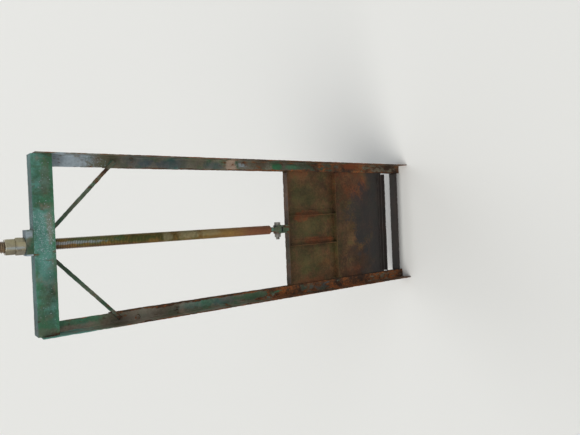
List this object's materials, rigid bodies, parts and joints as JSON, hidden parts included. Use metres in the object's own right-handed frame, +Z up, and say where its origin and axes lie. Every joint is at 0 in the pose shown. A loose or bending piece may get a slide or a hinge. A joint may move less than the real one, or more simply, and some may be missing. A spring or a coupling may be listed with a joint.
{
  "type": "wall-mounted sluice gate",
  "caption": "Sluice gate for a channel wall: ribbed leaf in angle-iron rails, raised by a screw stem through nuts on a channel yoke.",
  "frame": {"origin": "centre of the sill angle's back face, on the wall", "axes": "+Z up along the rails, +Y into the wall, +X to the right seen from the front"},
  "size_m": [0.7, 0.096, 2.413],
  "materials": {
    "worn_green_paint": "worn green paint over rusty steel",
    "rusted_steel": "rusted, with olive slime",
    "greased_screw_steel": "rust brown under old grease",
    "aged_bronze": "dull, greasy",
    "galvanised_bolt": "dull grey zinc"
  },
  "bodies": {
    "frame": {"left_rail": "worn_green_paint", "right_rail": "worn_green_paint", "left_seat_bar": "rusted_steel", "right_seat_bar": "rusted_steel", "left_guide_bar": "rusted_steel", "right_guide_bar": "rusted_steel", "sill_angle": "rusted_steel", "head_bar": "rusted_steel", "yoke": "worn_green_paint", "left_brace": "worn_green_paint", "right_brace": "worn_green_paint", "bearing_block": "worn_green_paint"},
    "leaf": {"leaf_plate": "rusted_steel", "leaf_top_angle": "rusted_steel", "leaf_bottom_angle": "rusted_steel", "cross_rib": "rusted_steel", "left_rib": "rusted_steel", "right_rib": "rusted_steel", "left_lug": "worn_green_paint", "right_lug": "worn_green_paint", "lug_block": "worn_green_paint", "lug_bolt": "galvanised_bolt", "lug_nut": "galvanised_bolt", "left_washer": "galvanised_bolt", "right_washer": "galvanised_bolt", "stem_eye": "worn_green_paint", "stem": "greased_screw_steel"},
    "nuts": {"lower_nut": "aged_bronze", "upper_nut": "aged_bronze"}
  },
  "joints": [
    {"name": "leaf_lift", "type": "slide", "parent": "frame", "child": "leaf", "axis": [0, 0, 1], "range_m": [-0.098, 0.5]},
    {"name": "nut_turn", "type": "hinge", "parent": "frame", "child": "nuts", "pos_m": [0, -0.041, 2.127], "axis": [0, 0, 1], "range_deg": [-28800, 5760]}
  ],
  "couplings": [
    {"joint": "nut_turn", "follows": "leaf_lift", "rad_per_m": -989.47}
  ]
}
